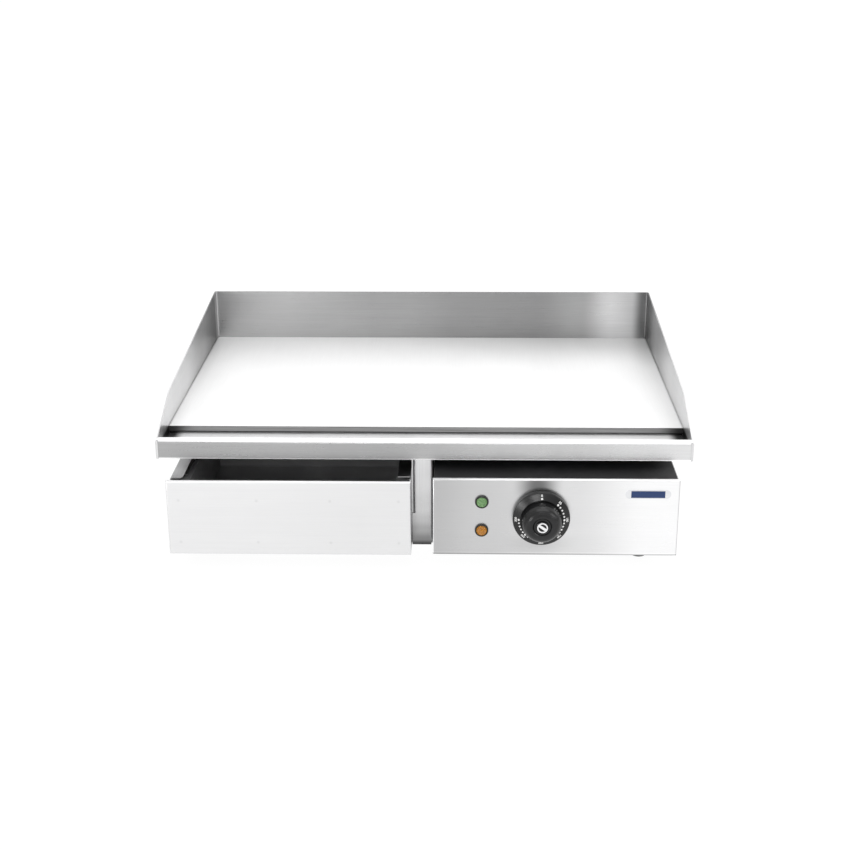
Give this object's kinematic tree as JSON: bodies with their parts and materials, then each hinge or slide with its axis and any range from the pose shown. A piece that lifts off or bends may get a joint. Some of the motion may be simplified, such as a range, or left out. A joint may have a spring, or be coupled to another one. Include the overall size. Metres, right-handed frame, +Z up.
{
  "type": "flat top griddle",
  "caption": "Countertop electric griddle: flat steel plate with splash guards and a front grease trough, a pull-out grease drawer at left and a thermostat control box at right.",
  "frame": {"origin": "bottom centre of the bounding box: on the surface the feet stand on, midway between the knob's tip and the end of the cable gland, midway across the guards", "axes": "+X to the user's right as they face the controls, +Y towards the back guard, +Z up"},
  "size_m": [0.55, 0.47, 0.1806],
  "materials": {
    "plate_steel": "ground flat, bright, finely grained",
    "guard_steel": "brushed stainless steel",
    "trough_steel": "brushed stainless steel",
    "element_sheath": "dark olive-grey oxidised sheath",
    "insulator": "off-white steatite",
    "zinc_plate": "dull zinc plating",
    "fastener_steel": "bright plated steel",
    "mineral_mat": "pale mineral-wool mat",
    "body_steel": "brushed stainless steel",
    "drawer_steel": "finely brushed bright stainless steel",
    "tray_steel": "dark satin coated sheet",
    "panel_steel": "horizontally brushed stainless steel",
    "cover_black": "satin black coated sheet",
    "badge_enamel": "flat printed plate, dark blue",
    "copper": "dull copper",
    "black_plastic": "satin black moulded plastic",
    "silver_cap": "satin metallised disc",
    "lens_green": "translucent green, pebbled",
    "lens_amber": "translucent amber, pebbled",
    "lamp_white": "white plastic",
    "button_red": "glossy red plastic",
    "lead_red": "silicone-covered lead",
    "lead_blue": "silicone-covered lead",
    "lead_brown": "silicone-covered lead",
    "rubber": "black rubber"
  },
  "bodies": {
    "body": {"griddle_plate": "plate_steel", "back_guard": "guard_steel", "left_guard": "guard_steel", "right_guard": "guard_steel", "grease_trough": "trough_steel", "drain_spout": "trough_steel", "heating_element_front": "element_sheath", "heating_element_rear": "element_sheath", "element_terminals": "insulator", "terminal_block": "insulator", "thermostat_switch": "insulator", "cutout_case": "insulator", "clamp_bars": "zinc_plate", "element_cover": "zinc_plate", "bulb_clips": "zinc_plate", "mounting_spacers": "zinc_plate", "thermostat_case": "zinc_plate", "lamp_clips": "zinc_plate", "drawer_runner_left": "zinc_plate", "drawer_runner_right": "zinc_plate", "plate_studs": "fastener_steel", "clamp_nuts": "fastener_steel", "cover_nuts": "fastener_steel", "mounting_studs": "fastener_steel", "mounting_nuts": "fastener_steel", "thermostat_screws": "fastener_steel", "foot_screws": "fastener_steel", "body_screws": "fastener_steel", "control_screws": "fastener_steel", "cutout_collar_nut": "fastener_steel", "insulation_mat": "mineral_mat", "body_side_left": "body_steel", "body_side_right": "body_steel", "body_base": "body_steel", "back_panel": "body_steel", "centre_panel": "body_steel", "bay_divider": "body_steel", "control_panel": "panel_steel", "control_shell": "panel_steel", "control_cover": "cover_black", "name_badge": "badge_enamel", "thermostat_capillary": "copper", "cutout_capillary": "copper", "lamp_bezels": "black_plastic", "gland_body": "black_plastic", "gland_cap": "black_plastic", "gland_nut": "black_plastic", "power_lamp_lens": "lens_green", "heating_lamp_lens": "lens_amber", "lamp_holders": "lamp_white", "element_leads": "lead_red", "control_leads": "lead_blue", "supply_leads": "lead_brown", "rubber_feet": "rubber"},
    "drawer": {"drawer_tray": "tray_steel", "drawer_front": "drawer_steel"},
    "dial": {"thermostat_shaft": "fastener_steel", "knob": "black_plastic", "knob_insert": "silver_cap"},
    "reset": {"reset_button": "button_red"}
  },
  "joints": [
    {"name": "drawer_slide", "type": "slide", "parent": "body", "child": "drawer", "axis": [0, -1, 0], "range_m": [0, 0.15]},
    {"name": "knob_turn", "type": "hinge", "parent": "body", "child": "dial", "pos_m": [0.1197, -0.206, 0.0601], "axis": [0, -1, 0], "range_deg": [0, 270]},
    {"name": "reset_press", "type": "slide", "parent": "body", "child": "reset", "axis": [0, -1, 0], "range_m": [0, 0.0015], "stiffness_N_per_m": 900}
  ]
}
